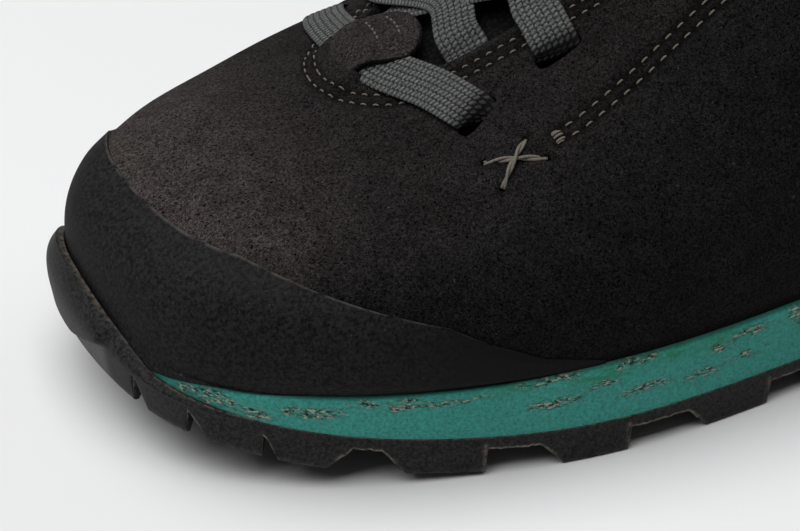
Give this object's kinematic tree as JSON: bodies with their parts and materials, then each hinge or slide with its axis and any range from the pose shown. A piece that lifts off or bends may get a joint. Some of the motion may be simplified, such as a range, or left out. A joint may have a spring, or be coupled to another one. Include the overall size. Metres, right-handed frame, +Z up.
{
  "type": "hiking shoe",
  "caption": "Low lace-up hiking shoe for the left foot: hollow suede upper with toe rand and lace keeper, padded tongue, foam midsole and lugged rubber outsole with toe bumper.",
  "frame": {"origin": "middle of the shoe in plan, on the floor under the sole", "axes": "toe towards -X, outer side of the foot towards -Y, +Z up"},
  "size_m": [0.294, 0.1091, 0.1233],
  "materials": {
    "outsole_rubber": "matt moulded rubber",
    "midsole_foam": "flecked teal foam",
    "insole_cloth": "brushed cloth",
    "suede": "dark grey-brown suede",
    "rand": "smooth matt black film",
    "tongue_cloth": "padded cloth",
    "lace": "flat woven lace"
  },
  "bodies": {
    "root": {"outsole": "outsole_rubber", "midsole": "midsole_foam", "insole": "insole_cloth", "upper": "suede", "toe_rand": "rand", "tongue": "tongue_cloth", "lace_bar": "lace", "lace_cross_1": "lace", "lace_cross_2": "lace", "lace_cross_3": "lace", "lace_cross_4": "lace", "lace_cross_5": "lace"}
  },
  "joints": []
}
